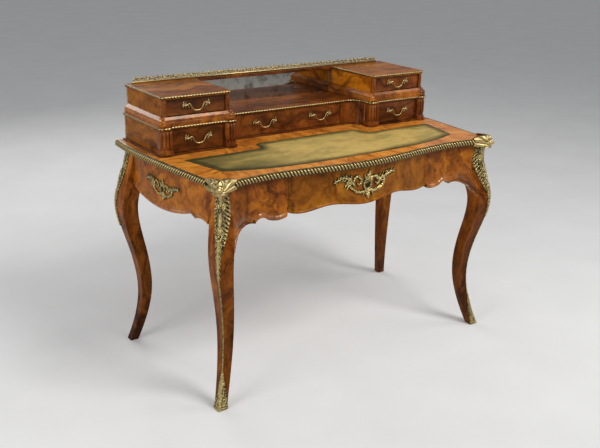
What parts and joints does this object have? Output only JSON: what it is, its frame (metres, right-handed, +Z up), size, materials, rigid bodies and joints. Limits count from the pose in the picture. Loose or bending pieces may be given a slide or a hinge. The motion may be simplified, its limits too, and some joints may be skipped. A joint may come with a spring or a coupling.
{
  "type": "writing desk",
  "caption": "Bonheur du jour: serpentine leather-topped walnut writing table on cabriole legs, with a stepped superstructure of drawers, mirror, brass gallery and gilt mounts.",
  "frame": {"origin": "on the floor under the middle of the desk's width and depth", "axes": "+X to the right seen from the sitter's side, +Y to the back, +Z up; the front faces -Y"},
  "size_m": [1.2476, 0.653, 0.947],
  "materials": {
    "walnut": "french polished",
    "walnut_top": "french polished",
    "walnut_front": "french polished",
    "secondary_wood": "plain",
    "gilt_brass": "aged gilt",
    "leather": "worn",
    "mirror": "silvered"
  },
  "bodies": {
    "desk": {"apron_back": "walnut", "apron_front_left": "walnut", "apron_front_right": "walnut", "apron_left": "walnut", "apron_right": "walnut", "corner_mounts": "gilt_brass", "desk_top": "walnut_top", "frieze_runners": "secondary_wood", "gadroon_border": "gilt_brass", "gallery": "gilt_brass", "leather_skiver": "leather", "leg_back_left": "walnut", "leg_back_right": "walnut", "leg_chutes": "gilt_brass", "leg_fillets": "gilt_brass", "leg_front_left": "walnut", "leg_front_right": "walnut", "mirror_backboard": "secondary_wood", "mirror_glass": "mirror", "mirror_rail": "walnut", "sabots": "gilt_brass", "side_cartouches": "gilt_brass", "tier_back": "secondary_wood", "tier_base": "walnut", "tier_brass_moulding": "gilt_brass", "tier_ends": "walnut", "tier_guides": "secondary_wood", "tier_partitions": "walnut", "tier_pilasters": "walnut", "tier_returns": "walnut", "tier_shelf": "walnut", "upper_brass_moulding": "gilt_brass", "upper_carcases": "walnut", "upper_pilasters": "walnut", "upper_plinths": "walnut", "upper_tops": "walnut_top"},
    "frieze_drawer": {"frieze_drawer_front": "walnut_front", "frieze_drawer_box": "secondary_wood", "frieze_cartouche": "gilt_brass"},
    "centre_drawer": {"centre_drawer_front": "walnut_front", "centre_drawer_box": "secondary_wood", "centre_handle_posts": "gilt_brass"},
    "centre_left_bail": {"centre_left_bail": "gilt_brass"},
    "centre_right_bail": {"centre_right_bail": "gilt_brass"},
    "left_upper_drawer": {"left_upper_drawer_front": "walnut_front", "left_upper_drawer_box": "secondary_wood", "left_upper_handle_posts": "gilt_brass"},
    "left_upper_bail": {"left_upper_bail": "gilt_brass"},
    "left_lower_drawer": {"left_lower_drawer_front": "walnut_front", "left_lower_drawer_box": "secondary_wood", "left_lower_handle_posts": "gilt_brass"},
    "left_lower_bail": {"left_lower_bail": "gilt_brass"},
    "right_upper_drawer": {"right_upper_drawer_front": "walnut_front", "right_upper_drawer_box": "secondary_wood", "right_upper_handle_posts": "gilt_brass"},
    "right_upper_bail": {"right_upper_bail": "gilt_brass"},
    "right_lower_drawer": {"right_lower_drawer_front": "walnut_front", "right_lower_drawer_box": "secondary_wood", "right_lower_handle_posts": "gilt_brass"},
    "right_lower_bail": {"right_lower_bail": "gilt_brass"}
  },
  "joints": [
    {"name": "frieze_drawer_slide", "type": "slide", "parent": "desk", "child": "frieze_drawer", "axis": [0, -1, 0], "range_m": [0, 0.34]},
    {"name": "centre_drawer_slide", "type": "slide", "parent": "desk", "child": "centre_drawer", "axis": [0, -1, 0], "range_m": [0, 0.11]},
    {"name": "left_upper_drawer_slide", "type": "slide", "parent": "desk", "child": "left_upper_drawer", "axis": [0, -1, 0], "range_m": [0, 0.17]},
    {"name": "left_lower_drawer_slide", "type": "slide", "parent": "desk", "child": "left_lower_drawer", "axis": [0, -1, 0], "range_m": [0, 0.17]},
    {"name": "right_upper_drawer_slide", "type": "slide", "parent": "desk", "child": "right_upper_drawer", "axis": [0, -1, 0], "range_m": [0, 0.17]},
    {"name": "right_lower_drawer_slide", "type": "slide", "parent": "desk", "child": "right_lower_drawer", "axis": [0, -1, 0], "range_m": [0, 0.17]},
    {"name": "left_upper_bail_swing", "type": "hinge", "parent": "left_upper_drawer", "child": "left_upper_bail", "pos_m": [-0.43, 0.053, 0.8905], "axis": [-1, 0, 0], "range_deg": [0, 90]},
    {"name": "left_lower_bail_swing", "type": "hinge", "parent": "left_lower_drawer", "child": "left_lower_bail", "pos_m": [-0.4285, 0.044, 0.7845], "axis": [-1, 0, 0], "range_deg": [0, 90]},
    {"name": "right_upper_bail_swing", "type": "hinge", "parent": "right_upper_drawer", "child": "right_upper_bail", "pos_m": [0.43, 0.053, 0.8905], "axis": [-1, 0, 0], "range_deg": [0, 90]},
    {"name": "right_lower_bail_swing", "type": "hinge", "parent": "right_lower_drawer", "child": "right_lower_bail", "pos_m": [0.4285, 0.044, 0.7845], "axis": [-1, 0, 0], "range_deg": [0, 90]},
    {"name": "centre_left_bail_swing", "type": "hinge", "parent": "centre_drawer", "child": "centre_left_bail", "pos_m": [-0.121, 0.122, 0.7845], "axis": [-1, 0, 0], "range_deg": [0, 90]},
    {"name": "centre_right_bail_swing", "type": "hinge", "parent": "centre_drawer", "child": "centre_right_bail", "pos_m": [0.121, 0.122, 0.7845], "axis": [-1, 0, 0], "range_deg": [0, 90]}
  ]
}
